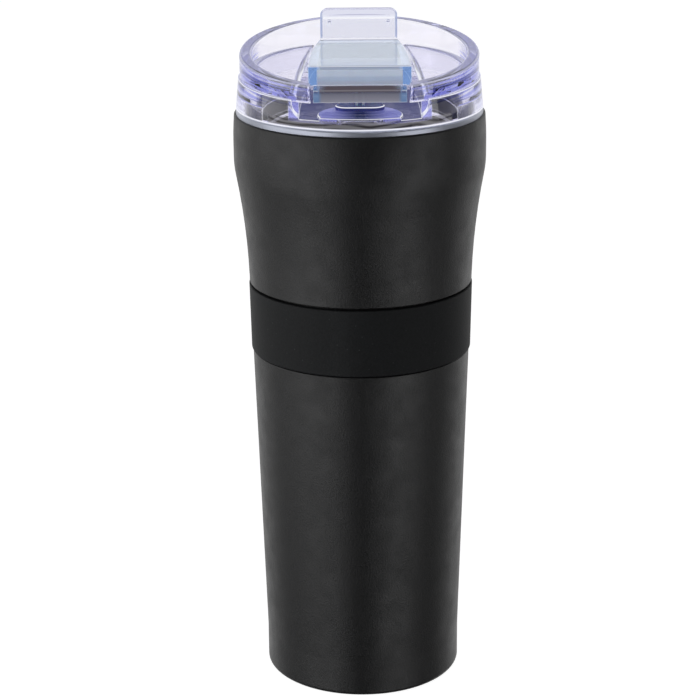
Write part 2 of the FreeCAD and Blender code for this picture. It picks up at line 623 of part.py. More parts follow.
def thumb_tab():
    """Upright tab: a straight stretch, a rounded bend, then a lip that leans back to round corners."""
    lean = math.radians(TAB_LEAN_DEG)
    front, back = LEVER_BACK_Y - TAB_THICK, LEVER_BACK_Y
    root = LEVER_TOP_Z - PLATE_THICK
    inner_r = TAB_BEND_R - TAB_THICK
    turn = math.tan(lean / 2)
    bend = (front + TAB_BEND_R, TAB_BEND_Z - TAB_BEND_R * turn)

    def up_lip(start, length):
        return (start[0] + length * math.sin(lean), start[1] + length * math.cos(lean))
    front_arc = arc(bend, TAB_BEND_R, 180, 180 - TAB_LEAN_DEG)
    back_arc = arc(bend, inner_r, 180 - TAB_LEAN_DEG, 180)
    back_arc_top = arc(bend, inner_r, 180, 180 - TAB_LEAN_DEG)[1]
    lip = TAB_LIP - inner_r * turn
    tip_front, tip_back = up_lip(front_arc[1], lip), up_lip(back_arc_top, lip)
    side = (front_arc, tip_front, tip_back, back_arc_top, back_arc, (back, root))
    tab = across(outline((front, root), (front, bend[1]), *side), TAB_HALF)
    tip = ((tip_front[0] + tip_back[0]) / 2, (tip_front[1] + tip_back[1]) / 2)
    tab = rounded(
        tab, TAB_CORNER,
        lambda p, e: near(abs(p.x), TAB_HALF) and math.hypot(p.y - tip[0], p.z - tip[1]) < HAIR
    )
    tab = rounded(
        tab, TAB_EDGE_ROUND,
        lambda p, e: p.z > root + 1 and (abs(p.x) > TAB_HALF - TAB_CORNER or p.z > tip_back[1] - HAIR)
    )
    foot = (front - TAB_ROOT_ROUND, LEVER_TOP_Z + TAB_ROOT_ROUND)
    inside = front + TAB_EDGE_ROUND
    fillet = across(outline(
        (inside, LEVER_TOP_Z), (inside, foot[1]), (front, foot[1]), arc(foot, TAB_ROOT_ROUND, 0, -90)
    ), TAB_HALF)
    corner = (back, TAB_BEND_Z - TAB_THICK * turn)
    low = corner[1] - RIB_LOW
    gusset = outline((back, low), (back - RIB_ROOT, low), (back - RIB_ROOT, corner[1]), corner,
                     up_lip(corner, RIB_HIGH))
    ribs = []
    for x in (-RIB_X, RIB_X):
        rib = across(gusset, RIB_THICK / 2)
        rib.translate(V(x, 0, 0))
        ribs.append(rib)
    return tab.multiFuse([fillet] + ribs)


def lever():
    pieces = [lever_front(), thumb_tab()]
    half = channel_half(LEVER_GAP, HINGE_Y)
    stub = channel_half(0, HINGE_Y) + PIVOT_REACH
    for sign in (-1, 1):
        inner, outer = sorted((sign * (half - EAR_THICK), sign * half))
        ear = cross_pin(EAR_R, inner, outer)
        web = block(inner, outer, HINGE_Y - EAR_R, HINGE_Y + EAR_R, HINGE_Z, LEVER_LOW_Z + 1)
        pin = cross_pin(PIVOT_R, *sorted((sign * (half - EAR_THICK), sign * stub)))
        pieces += [ear, web, pin]
    pad_space = pad_plan(0, LEVER_LOW_Z, LEVER_TOP_Z - PLATE_THICK)
    return lever_block().multiFuse(pieces).removeSplitter().cut(pad_space)


def lever_stopper():
    """Milky insert under the plate, with a stadium plug on two ribs for the slot and a vent plug."""
    pad = pad_plan(STOPPER_CLEAR, LEVER_LOW_Z, LEVER_TOP_Z - PLATE_THICK - STOPPER_CLEAR)
    slot_top, inside_pad = WELL_FLOOR_Z + SPOUT_RISE, LEVER_LOW_Z + 1
    low = slot_top + STOPPER_CLEAR
    high, middle = low + PLUG_THICK, low + PLUG_THICK / 2
    plug = stadium(SLOT_LONG + 2 * PLUG_RIM, SLOT_WIDE + 2 * PLUG_RIM, SLOT_Y, low, high)
    plug = rounded(plug, PLUG_ROUND, lambda p, e: near(p.z, high))
    nub = stadium(
        SLOT_LONG - 2 * NUB_CLEAR, SLOT_WIDE - 2 * NUB_CLEAR, SLOT_Y, slot_top - NUB_DEEP, middle
    )
    half, deep = STEM_WIDE / 2, STEM_DEEP / 2
    stems = []
    for x in (-STEM_X, STEM_X):
        stems.append(block(x - half, x + half, SLOT_Y - deep, SLOT_Y + deep, middle, inside_pad))
    vent_plug = disc(VENT_PLUG_R, WELL_FLOOR_Z + STOPPER_CLEAR, inside_pad, 0, VENT_Y)
    vent_nub = disc(VENT_NUB_R, WELL_FLOOR_Z - NUB_DEEP, WELL_FLOOR_Z + 1, 0, VENT_Y)
    return pad.multiFuse([plug, nub, vent_plug, vent_nub] + stems).removeSplitter()


PARTS = {
    "outer_shell": outer_shell,
    "inner_liner": inner_liner,
    "liner_bottom": liner_bottom,
    "outer_bottom": outer_bottom,
    "copper_foil": copper_foil,
    "getter_cup": getter_cup,
    "getter_pellet": getter_pellet,
    "sealing_bead": sealing_bead,
    "base_cover": base_cover,
    "grip_band": grip_band,
    "lid_body": lid_body,
    "lid_gasket": lid_gasket,
    "lever": lever,
    "lever_stopper": lever_stopper,
}

os.makedirs("parts", exist_ok=True)
for name, build in PARTS.items():
    shape = build()
    solids = shape.Solids
    assert len(solids) == 1 and solids[0].isValid(), name
    solids[0].exportStep(f"parts/{name}.step")
    print(f"{name:14s} {solids[0].Volume:10.1f} mm3")
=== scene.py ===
"""Looks and studio of an insulated tumbler with a clear press-in lid and a flip lever.

Everything is in metres, in the frame's own axes: +Z is up and the front of the tumbler faces -Y.
"""

import bpy
import math
import bmesh
from mathutils import Matrix, Vector


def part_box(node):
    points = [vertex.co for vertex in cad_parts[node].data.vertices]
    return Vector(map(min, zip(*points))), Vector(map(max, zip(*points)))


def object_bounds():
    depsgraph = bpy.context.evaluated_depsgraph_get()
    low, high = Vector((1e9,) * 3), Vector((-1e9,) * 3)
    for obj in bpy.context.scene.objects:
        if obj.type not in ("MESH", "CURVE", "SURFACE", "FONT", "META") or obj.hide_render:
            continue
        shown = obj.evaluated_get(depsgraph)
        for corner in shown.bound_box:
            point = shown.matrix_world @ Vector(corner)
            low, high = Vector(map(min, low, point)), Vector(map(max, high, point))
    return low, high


MM = 0.001
FAR = 1.0  # a distance that reaches past the tumbler on every side
BLACK = (0.0, 0.0, 0.0)
WHITE = (1.0, 1.0, 1.0)

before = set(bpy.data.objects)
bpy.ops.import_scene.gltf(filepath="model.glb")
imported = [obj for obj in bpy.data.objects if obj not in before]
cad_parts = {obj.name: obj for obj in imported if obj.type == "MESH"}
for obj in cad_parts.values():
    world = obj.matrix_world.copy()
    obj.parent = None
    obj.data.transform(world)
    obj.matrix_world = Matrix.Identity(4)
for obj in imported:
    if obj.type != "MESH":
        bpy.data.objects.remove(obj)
bpy.context.view_layer.update()
cad_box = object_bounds()


# ------------------------------------------------------------------ node helpers

class Nodes:
    """A node tree, with short calls for the nodes that the finishes and the room are made of."""

    def __init__(self, tree):
        self.tree = tree
        self.tree.nodes.clear()

    def add(self, kind, settings=None, **inputs):
        """A node of this kind; settings are its attributes, and inputs its sockets by name."""
        node = self.tree.nodes.new(kind)
        for key, value in (settings or {}).items():
            setattr(node, key, value)
        for key, value in inputs.items():
            self.put(value, node.inputs[key.replace("_", " ")])
        return node

    def put(self, value, socket):
        """A link when value is another node's socket, or a plain value."""
        if isinstance(value, bpy.types.NodeSocket):
            self.tree.links.new(value, socket)
        elif socket.type == "RGBA" and len(value) == 3:
            socket.default_value = (*value, 1.0)
        else:
            socket.default_value = value

    def spread(self, value, low, high, to_low=0.0, to_high=1.0):
        """value's range low to high, stretched to another range and clamped to it."""
        node = self.add("ShaderNodeMapRange", Value=value)
        node.inputs["From Min"].default_value = low
        node.inputs["From Max"].default_value = high
        node.inputs["To Min"].default_value = to_low
        node.inputs["To Max"].default_value = to_high
        return node.outputs["Result"]

    def maths(self, operation, a, b=0.0):
        """One step of arithmetic; some operations use only the first value."""
        node = self.add("ShaderNodeMath", {"operation": operation})
        self.put(a, node.inputs[0])
        self.put(b, node.inputs[1])
        return node.outputs["Value"]

    def product(self, first, *others):
        """All the values multiplied together."""
        for other in others:
            first = self.maths("MULTIPLY", first, other)
        return first

    def blend(self, factor, a, b, how="MIX"):
        """Colour a to colour b."""
        node = self.add("ShaderNodeMix", {"data_type": "RGBA", "blend_type": how})
        self.put(factor, node.inputs[0])
        self.put(a, node.inputs[6])
        self.put(b, node.inputs[7])
        return node.outputs[2]


class Shader(Nodes):
    """A material, with calls for where a point is, which way it faces and what light does there."""

    def __init__(self, name):
        self.material = bpy.data.materials.new(name)
        self.material.use_nodes = True
        super().__init__(self.material.node_tree)
        self.output = self.add("ShaderNodeOutputMaterial")
        self.place = self.add("ShaderNodeTexCoord").outputs["Object"]
        self.xyz = self.add("ShaderNodeSeparateXYZ", Vector=self.place).outputs
        self.normal = self.add("ShaderNodeNewGeometry").outputs["Normal"]
        self.facing = self.add("ShaderNodeSeparateXYZ", Vector=self.normal).outputs

    def stretched(self, scale):
        """The object's own coordinates, scaled by a different amount along each axis."""
        node = self.add("ShaderNodeMapping", Vector=self.place)
        node.inputs["Scale"].default_value = scale
        return node.outputs["Vector"]

    def noise(self, grain, detail=2.0, rough=0.5, place=None):
        """Noise whose spots are about this many metres across."""
        node = self.add(
            "ShaderNodeTexNoise",
            Vector=place or self.place,
            Scale=1.0 / grain,
            Detail=detail,
            Roughness=rough,
        )
        return node.outputs["Fac"]

    def bump(self, height, depth, after=None):
        """A bump of this depth in metres, on top of another bump if one is given."""
        node = self.add("ShaderNodeBump", Height=height, Strength=1.0, Distance=depth)
        if after:
            self.put(after, node.inputs["Normal"])
        return node.outputs["Normal"]

    def within(self, x=None, y=None, z=None, soft=0.3 * MM):
        """1 inside a box, given by a range along some of the axes, and fading to 0 round it."""
        sides = []
        for place, limits in zip(self.xyz, (x, y, z)):
            if limits:
                low, high = limits
                sides.append(self.spread(place, low - soft, low + soft))
                sides.append(self.spread(place, high - soft, high + soft, 1.0, 0.0))
        return self.product(*sides)

    def beyond_radius(self, radius, soft=0.2 * MM):
        """1 outside a cylinder round the tumbler's axis, and 0 inside it."""
        flat = self.stretched((1.0, 1.0, 0.0))
        length = self.add("ShaderNodeVectorMath", {"operation": "LENGTH"}, Vector=flat)
        return self.spread(length.outputs["Value"], radius - soft, radius + soft)

    def off_centre(self, near, far):
        """0 near the tumbler's plane of symmetry and 1 far from it, on both sides."""
        return self.spread(self.maths("ABSOLUTE", self.xyz["X"]), near, far)

    def facing_up(self):
        """1 on level faces that look up."""
        return self.spread(self.facing["Z"], 0.93, 0.97)

    def facing_sideways(self):
        """1 on upright faces that look to the left or right."""
        return self.spread(self.maths("ABSOLUTE", self.facing["X"]), 0.8, 0.95)

    def rim_of_light(self):
        """How much a face is a rounded upper edge: the painted highlights of lamps over such edges go there.
        """
        rising = self.spread(self.facing["Z"], 0.25, 0.5)
        falling = self.spread(self.facing["Z"], 0.8, 0.95, 1.0, 0.0)
        return self.product(rising, falling)

    def sharp_edge(self, radius):
        """How near a face's point is to a crisp edge, from how much a bevel there would turn it."""
        bevel = self.add("ShaderNodeBevel", {"samples": 6}, Radius=radius).outputs["Normal"]
        match = self.add("ShaderNodeVectorMath", {"operation": "DOT_PRODUCT"})
        self.put(self.normal, match.inputs[0])
        self.put(bevel, match.inputs[1])
        return self.spread(match.outputs["Value"], 0.8, 0.97, 1.0, 0.0)

    def layered(self, first, *others):
        """A share and a colour from pairs of them; where a later pair has a share, it covers."""
        least = 0.02
        share, colour = first
        for more, other in others:
            share = self.maths("MAXIMUM", share, more)
            colour = self.blend(self.maths("GREATER_THAN", more, least), colour, other)
        return share, colour

    def mixed(self, share, a, b):
        """Shader a to shader b."""
        node = self.add("ShaderNodeMixShader")
        self.put(share, node.inputs[0])
        self.tree.links.new(a.outputs[0], node.inputs[1])
        self.tree.links.new(b.outputs[0], node.inputs[2])
        return node

    def principled(self, **inputs):
        """The usual surface, with the given inputs."""
        return self.add("ShaderNodeBsdfPrincipled", **inputs)

    def glowing(self, body, share, colour):
        """A surface of which this share is a glow of this colour: painted light, as the part is no lamp."""
        return self.mixed(share, body, self.add("ShaderNodeEmission", Color=colour))

    def show(self, surface):
        """Joins a surface to the output."""
        self.tree.links.new(surface.outputs[0], self.output.inputs["Surface"])

    def clear_to_light(self, body, tint):
        """Shows a clear part that lamps shine through, tinted, where a shadow would be black."""
        shadow = self.add("ShaderNodeLightPath").outputs["Is Shadow Ray"]
        self.show(self.mixed(shadow, body, self.add("ShaderNodeBsdfTransparent", Color=tint)))

    def absorb(self, colour, density):
        """Tints light by how far it travels inside the solid."""
        node = self.add("ShaderNodeVolumeAbsorption", Color=colour, Density=density)
        self.tree.links.new(node.outputs[0], self.output.inputs["Volume"])


# ------------------------------------------------------------------ places that finishes need

def lip_low_z():
    """Where the coated shell ends and the bare steel lip begins."""
    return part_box("outer_shell")[1].z


def seat_z():
    """Top of the steel lip, where the lid's flange sits."""
    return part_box("inner_liner")[1].z


# the lid's mouth along y, radii that part its walls from each other, and heights above its seat
MOUTH_DEPTH = (-FAR, -28.0 * MM)
SKIRT_OUT, FLANGE_R = 37.0 * MM, 39.5 * MM
RING_OUT, RING_IN = 38.6 * MM, 34.9 * MM
RING_WALL_LOW, RING_WALL_HIGH, RING_EDGE_RISE = 6.5 * MM, 15.0 * MM, 11.5 * MM
RIM_SLOPE = 0.13  # the rim's rise per metre towards the back
MOUTH_FLOOR_RISE = 3.0 * MM
PLUG_RISE = 5.2 * MM  # the stopper's plug ends below this

# the lever's front wall and top plate, measured from its insert
LEVER_WALL, LEVER_PLATE = 1.55 * MM, 1.45 * MM
LEDGE_DROP = 4.6 * MM  # the ledge is this far below the insert's top


# ------------------------------------------------------------------ finishes of the cup

STEEL_GREY = (0.42, 0.43, 0.45)
SHADED_STEEL = (0.055, 0.06, 0.10)
LIP_STEEL = (0.53, 0.56, 0.66)
LIP_FADE = 9.0 * MM  # below the lip, its finish turns into the inside's over this depth
DAYLIGHT_REACH = 75.0 * MM  # how deep the mouth's daylight gets into the cup


def powder_coat():
    """Matte black baked powder: a fine pebble, with soft pooling and a faint change of grey."""
    s = Shader("powder_coat")
    pebble = s.noise(0.55 * MM, detail=3.0, rough=0.6)
    pooling = s.noise(6.0 * MM)
    waves = s.bump(pooling, 0.02 * MM)
    s.show(s.principled(
        Base_Color=s.blend(s.spread(pebble, 0.35, 0.65), (0.0072, 0.0074, 0.0082), (0.0122, 0.0125, 0.0134)),
        Roughness=s.spread(pooling, 0.3, 0.7, 0.44, 0.52),
        Normal=s.bump(pebble, 0.09 * MM, after=waves),
        IOR=1.5,
    ))
    return s.material


def grip_rubber():
    """Flat black silicone with a moulded cloudy tone and a few pale specks of dust."""
    s = Shader("grip_rubber")
    haze_and_painted_glow = s.noise(0.7 * MM, detail=4.0, rough=0.65)
    base = s.blend(s.spread(haze_and_painted_glow, 0.3, 0.7), (0.0072, 0.0082, 0.0095), (0.0125, 0.0138, 0.0155))
    specks = s.add("ShaderNodeTexVoronoi", Vector=s.place, Scale=1.0 / (2.6 * MM))
    speck = s.spread(specks.outputs["Distance"], 0.05, 0.11, 1.0, 0.0)
    s.show(s.principled(
        Base_Color=s.blend(s.product(speck, 0.35), base, (0.07, 0.072, 0.075)),
        Roughness=0.72,
        Normal=s.bump(haze_and_painted_glow, 0.05 * MM),
        IOR=1.42,
    ))
    return s.material


def turned_steel(name, shaded=SHADED_STEEL, rough=0.38):
    """Satin stainless with fine turning lines round the axis, and a blasted lip.

    Inside the cup it is grey, but it has the shaded colour for light that came through the lid.
    Near the mouth it glows a little, for the daylight that the dark ceiling doesn't give.
    """
    s = Shader(name)
    height = s.xyz["Z"]
    lip_z = lip_low_z()
    lines = s.noise(0.12 * MM, detail=3.0, place=s.stretched((0.02, 0.02, 1.0)))
    wear = s.spread(lines, 0.3, 0.7, 0.9, 1.0)
    cloud = s.noise(9.0 * MM)
    lip = s.spread(height, lip_z - LIP_FADE, lip_z)
    panes = s.add("ShaderNodeLightPath").outputs["Transmission Depth"]
    direct = s.maths("LESS_THAN", panes, 0.5)
    body = s.principled(
        Base_Color=s.blend(wear, BLACK, s.blend(lip, s.blend(direct, shaded, STEEL_GREY), LIP_STEEL)),
        Metallic=s.spread(lip, 0.0, 1.0, 1.0, 0.45),
        Roughness=s.spread(cloud, 0.3, 0.7, rough - 0.04, rough + 0.05),
        Normal=s.bump(lines, 0.006 * MM),
    )
    daylight = s.spread(height, lip_z - DAYLIGHT_REACH, lip_z - 4.0 * MM, 0.004, 0.09)
    below_lip = s.spread(lip, 0.0, 0.5, 1.0, 0.0)
    s.show(s.glowing(body, s.product(daylight, direct, below_lip), (0.66, 0.68, 0.72)))
    return s.material


def copper_foil():
    """Thin copper wrap with soft creases."""
    s = Shader("copper_foil")
    crease = s.noise(4.0 * MM, detail=4.0)
    s.show(s.principled(
        Base_Color=s.blend(crease, (0.72, 0.33, 0.19), (0.9, 0.5, 0.34)),
        Metallic=1.0,
        Roughness=s.spread(crease, 0.3, 0.7, 0.22, 0.4),
        Normal=s.bump(crease, 0.2 * MM),
    ))
    return s.material


def getter_powder():
    """Pressed dark grey powder."""
    s = Shader("getter_powder")
    grain = s.noise(0.25 * MM, detail=3.0)
    colour = s.blend(grain, (0.05, 0.05, 0.055), (0.13, 0.13, 0.14))
    s.show(s.principled(Base_Color=colour, Roughness=0.9, Normal=s.bump(grain, 0.08 * MM)))
    return s.material


def bead_glass():
    """Fused sealing glass, dark and glossy."""
    s = Shader("bead_glass")
    cloud = s.noise(1.2 * MM)
    colour = s.blend(cloud, (0.02, 0.02, 0.022), (0.05, 0.05, 0.06))
    s.show(s.principled(Base_Color=colour, Roughness=0.12, Normal=s.bump(cloud, 0.02 * MM)))
    return s.material


# ------------------------------------------------------------------ finishes of the lid

PAINTED_GLINT_WIDTH = 0.3 * MM  # width of the painted highlight line along a moulded edge
# colour of the painted highlights on edges, rims and the seat
PAINTED_GLINT_COLOUR = (0.93, 0.94, 1.0)
SILICONE_VEIL = (0.2, 0.22, 0.24)  # light that gets through silicone


def clear_plastic(s, face_on, grazing, tint, density, edge_light, haze_and_painted_glow):
    """Moulded clear plastic: a tint that deepens along the light's path, and painted highlights on its
    edges.

    A surface seen face on has the first colour, and one seen along itself the second.
    The last argument is a share and a colour of painted glow on the plastic's skin.
    """
    flow = s.noise(7.0 * MM, detail=1.0)
    slant = s.add("ShaderNodeLayerWeight", Blend=0.5).outputs["Facing"]
    body = s.principled(
        Base_Color=s.blend(s.spread(slant, 0.6, 0.97), face_on, grazing),
        Transmission_Weight=1.0,
        IOR=1.5,
        Roughness=0.012,
        Normal=s.bump(flow, 0.035 * MM),
    )
    # painted highlights: rounded upper edges and crisp edges glow in the glint colour, as strongly as
    # edge_light says
    edges = s.maths("MAXIMUM", s.rim_of_light(), s.sharp_edge(PAINTED_GLINT_WIDTH))
    # painted glow: the shares of the last argument cover the clear body with emission
    lit = s.glowing(s.glowing(body, *haze_and_painted_glow), s.product(edges, edge_light), PAINTED_GLINT_COLOUR)
    s.clear_to_light(lit, tuple(0.5 + 0.5 * c for c in tint))
    s.absorb(tint, density)


def rim_streaks(s):
    """Lines that follow the slanted rim, in the front and sides of the ring's outer wall."""
    height = s.maths("SUBTRACT", s.xyz["Z"], s.product(s.xyz["Y"], RIM_SLOPE))
    along_rim = s.add("ShaderNodeCombineXYZ", Z=height).outputs[0]
    lines = s.spread(s.noise(1.5 * MM, detail=3.0, place=along_rim), 0.43, 0.53)
    wall = s.within(y=(-FAR, 15.0 * MM), z=(seat_z() + RING_WALL_LOW, seat_z() + RING_WALL_HIGH))
    return s.product(lines, wall, s.beyond_radius(RING_OUT))


def painted_flange_swirl(s):
    """Share and colour of a painted grey glow in swirls on the flange's wall, from the seat to the mouth's
    floor.
    """
    swirl = s.add(
        "ShaderNodeTexWave",
        {"wave_type": "RINGS", "rings_direction": "SPHERICAL"},
        Vector=s.stretched((1.0, 1.0, 2.5)),
        Scale=70.0,
        Distortion=9.0,
        Detail=1.0,
    ).outputs["Fac"]
    grey = s.blend(s.spread(swirl, 0.05, 0.7), (0.04, 0.037, 0.042), (0.20, 0.195, 0.21))
    wall = s.within(y=MOUTH_DEPTH, z=(seat_z() + 0.2 * MM, seat_z() + MOUTH_FLOOR_RISE))
    return s.product(wall, s.beyond_radius(SKIRT_OUT), 0.7), grey


def mouth_painted_glow(s):
    """Shares and colours of painted light in the mouth: a painted navy shade on its floor and a violet
    painted glow on the pour lip raised on it.
    """
    floor_z = seat_z() + MOUTH_FLOOR_RISE
    level = s.product(s.facing_up(), s.within(y=(-FAR, 10.0 * MM)))
    floor_share = s.within(z=(floor_z - 0.5 * MM, floor_z + 0.3 * MM))
    pour_lip = s.within(z=(floor_z + 0.5 * MM, floor_z + 1.3 * MM), soft=0.1 * MM)
    violet = s.blend(s.off_centre(1.0 * MM, 9.0 * MM), (0.015, 0.02, 0.09), (0.20, 0.21, 0.56))
    return (
        (s.product(level, floor_share, 0.8), (0.065, 0.07, 0.18)),
        (s.product(level, pour_lip, 0.75), violet),
    )


def clear_lid():
    """Violet-tinted clear lid, with streaks in its ring and deep colour in its mouth; painted glow, painted
    shade and painted highlights lie on it.
    """
    s = Shader("clear_lid")
    cheeks = s.product(s.facing_sideways(), s.within(y=MOUTH_DEPTH))
    deep = s.maths("MAXIMUM", cheeks, rim_streaks(s))
    ring_top = s.product(s.facing_up(), s.beyond_radius(RING_IN))
    # painted highlight: a white glowing line where the flange sits on the lip
    painted_seat_glint = s.within(z=(seat_z(), seat_z() + 0.45 * MM), soft=0.05 * MM)
    painted_seat_glint = s.product(painted_seat_glint, s.beyond_radius(FLANGE_R))
    ring_edge = s.within(z=(seat_z() + RING_EDGE_RISE, FAR))
    clear_plastic(
        s,
        face_on=s.blend(deep, (0.965, 0.95, 0.97), (0.23, 0.25, 0.74)),
        grazing=(0.36, 0.37, 0.72),
        tint=(0.30, 0.32, 0.80),
        density=25.0,
        # the painted edge highlights are fainter on the ring's upper part
        edge_light=s.spread(ring_edge, 0.0, 1.0, 0.85, 0.3),
        haze_and_painted_glow=s.layered(
            painted_flange_swirl(s),
            # painted glow: a pale glow lightens the ring's top
            (s.product(ring_top, 0.4), (0.43, 0.43, 0.58)),
            *mouth_painted_glow(s),
            (s.product(painted_seat_glint, 0.8), PAINTED_GLINT_COLOUR),
        ),
    )
    return s.material


def block_painted_glow(s, front_y, ledge_z, top_z):
    """Shares and colours of painted light on the lever's block: painted shade on the apron and ledge,
    painted bands of light on its front, a painted pale sheen on its plate.
    """
    before = (-FAR, front_y - 0.4 * MM)
    apron = s.within(y=before, z=(-FAR, ledge_z - 0.9 * MM))
    drop = s.spread(s.xyz["Z"], ledge_z - 4.0 * MM, ledge_z - 1.0 * MM)
    grey = s.blend(drop, (0.24, 0.24, 0.29), (0.13, 0.13, 0.165))
    middle = s.within(x=(-12.4 * MM, 12.4 * MM), soft=0.6 * MM)

    ledge = s.within(x=(-11.5 * MM, 11.5 * MM), y=before, z=(ledge_z - 1.6 * MM, FAR), soft=1.2 * MM)
    upward = s.spread(s.facing["Z"], 0.05, 0.3)

    face = s.within(
        x=(-13.2 * MM, 13.2 * MM),
        y=(front_y - 0.4 * MM, front_y + 0.4 * MM),
        z=(ledge_z, top_z - 0.3 * MM),
    )
    high = s.spread(s.xyz["Z"], top_z - 3.6 * MM, top_z - 3.0 * MM)
    low = s.spread(s.xyz["Z"], ledge_z + 0.9 * MM, ledge_z + 1.4 * MM)
    bands = s.blend(low, (0.44, 0.45, 0.51), s.blend(high, (0.42, 0.47, 0.58), (0.56, 0.60, 0.68)))

    plate = s.product(s.facing_up(), s.within(z=(top_z - 0.3 * MM, FAR)))
    return (
        # painted shade: a grey glow on the apron, darker towards the ledge and blue at its sides
        (s.product(apron, 0.75), s.blend(middle, (0.12, 0.20, 0.36), grey)),
        # painted shade: a near black glow on the ledge's upward faces
        (s.product(ledge, upward, 0.97), (0.085, 0.07, 0.085)),
        # painted light: bands of glow on the front wall
        (s.product(face, 0.82), bands),
        # painted sheen: a pale glow on the top plate
        (s.product(plate, 0.4), (0.78, 0.85, 0.92)),
    )


def tab_painted_glow(s, lip, block_top, tab_top):
    """Shares and colours of painted light on the thumb tab: a pale painted glow on the bent lip, a painted
    highlight on the bend and a blue painted glow on the side edges.
    """
    bend = s.within(z=(tab_top - 3.4 * MM, tab_top - 2.9 * MM), soft=0.2 * MM)
    outside = s.off_centre(11.9 * MM, 12.3 * MM)
    edges = s.product(outside, s.within(z=(block_top + 0.8 * MM, FAR)))
    return (
        (s.product(lip, 0.3), (0.60, 0.60, 0.80)),
        (s.product(bend, 0.8), (0.95, 0.95, 1.0)),
        (s.product(edges, 0.8), (0.33, 0.39, 0.62)),
    )


def clear_lever():
    """Aqua-tinted clear lever; the painted edge highlights on its ledge and on its tab's lip are faint."""
    s = Shader("clear_lever")
    insert_low, insert_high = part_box("lever_stopper")
    front_y = insert_low.y - LEVER_WALL
    block_top = insert_high.z + LEVER_PLATE
    ledge_z = insert_high.z - LEDGE_DROP
    tab_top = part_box("lever")[1].z
    lip = s.within(z=(tab_top - 3.2 * MM, FAR))
    ledge_zone = s.within(y=(-FAR, front_y - 0.4 * MM), z=(ledge_z - 3.0 * MM, FAR))
    calm = s.maths("MAXIMUM", lip, ledge_zone)
    clear_plastic(
        s,
        face_on=(0.945, 0.94, 0.965),
        grazing=(0.25, 0.36, 0.66),
        tint=(0.25, 0.52, 0.80),
        density=42.0,
        # the painted edge highlights are faint on the tab's lip and on the ledge
        edge_light=s.spread(calm, 0.0, 1.0, 0.6, 0.1),
        haze_and_painted_glow=s.layered(
            *block_painted_glow(s, front_y, ledge_z, block_top),
            *tab_painted_glow(s, lip, block_top, tab_top),
        ),
    )
    return s.material


def milky_silicone(s, colour, rough, through):
    """Milky silicone: light scatters inside it, and some passes right through."""
    skin = s.noise(0.8 * MM, detail=3.0)
    cloud = s.noise(5.0 * MM)
    shade = s.blend(s.spread(cloud, 0.3, 0.7, 0.12, 0.0), colour, BLACK)
    body = s.principled(
        Base_Color=shade,
        Roughness=rough,
        IOR=1.41,
        Subsurface_Weight=0.35,
        Subsurface_Scale=1.5 * MM,
        Normal=s.bump(skin, 0.015 * MM),
    )
    return s.mixed(through, body, s.add("ShaderNodeBsdfTranslucent", Color=shade))


def stopper_silicone():
    """Milky insert; its plug, down in the mouth, is painted a dark violet, a painted shade seen through the
    lid, and has a painted highlight on its rim.
    """
    s = Shader("stopper_silicone")
    plug = s.within(z=(-FAR, seat_z() + PLUG_RISE))
    # painted shade: the plug has a dark violet in place of the insert's milky colour
    colour = s.blend(plug, (0.86, 0.92, 0.95), (0.17, 0.18, 0.46))
    body = milky_silicone(s, colour, rough=0.35, through=0.3)
    # painted highlight: the plug's rounded rim glows in the glint colour
    rim = s.product(s.rim_of_light(), plug)
    s.clear_to_light(s.glowing(body, rim, PAINTED_GLINT_COLOUR), SILICONE_VEIL)
    return s.material


def gasket_silicone():
    """Smoky silicone of the seal round the plug skirt."""
    s = Shader("gasket_silicone")
    body = milky_silicone(s, (0.24, 0.24, 0.27), rough=0.4, through=0.5)
    s.clear_to_light(body, SILICONE_VEIL)
    return s.material


# ------------------------------------------------------------------ the object

def finish_nodes():
    """Gives every frame node the finish of its record slot."""
    finishes = {
        "powder_coat": powder_coat(),
        "steel": turned_steel("turned_steel"),
        "copper": copper_foil(),
        "getter": getter_powder(),
        "bead_glass": bead_glass(),
        "cover": turned_steel("base_cover_steel", shaded=STEEL_GREY, rough=0.36),
        "grip_silicone": grip_rubber(),
        "clear_lid": clear_lid(),
        "gasket_silicone": gasket_silicone(),
        "clear_lever": clear_lever(),
        "milky_silicone": stopper_silicone(),
    }
    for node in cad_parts.values():
        slot = node.data.materials[0].name.split(".")[0]
        node.material_slots[0].material = finishes[slot]


def wet_insert():
    """Carries the insert's skin across the gap that the frame keeps: it is moulded onto the lever."""
    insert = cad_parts["lever_stopper"]
    weld = insert.modifiers.new("weld", "WELD")
    weld.merge_threshold = 0.001 * MM
    swell = insert.modifiers.new("swell", "DISPLACE")
    swell.mid_level = 0.0
    swell.strength = 0.08 * MM


# ------------------------------------------------------------------ the studio

CAMERA_PLACE = Vector((-3.754, -710.79, 343.72)) * MM
LENS_MM = 113.796
TILT_DOWN = math.radians(18.003)
ROLL = math.radians(-0.459)
FLOOR_R = 6.0
FLOOR_GLOW = 1.9  # bright enough to run into the backdrop
BOUNCES = 24

# grey levels of the room along +Y, from in front of the tumbler to behind it, and along +Z
BACKDROP_STOPS = ((-1.0, 0.012), (-0.15, 0.03), (0.4, 0.44), (0.67, 1.08))
CEILING_STOPS = ((0.35, 1.0), (0.6, 0.35), (1.0, 0.25))
THROUGH_LEVEL = (0.28, 0.29, 0.46)  # the least that a ray meets after it leaves a clear part


def camera():
    """The camera in front of the tumbler, a little above it and looking down."""
    data = bpy.data.cameras.new("camera")
    data.lens = LENS_MM
    data.clip_start = 0.01
    data.clip_end = 50.0
    obj = bpy.data.objects.new("camera", data)
    bpy.context.scene.collection.objects.link(obj)
    tilt = Matrix.Rotation(math.pi / 2 - TILT_DOWN, 4, "X")
    roll = Matrix.Rotation(ROLL, 4, "Z")
    obj.matrix_world = Matrix.Translation(CAMERA_PLACE) @ tilt @ roll
    bpy.context.scene.camera = obj


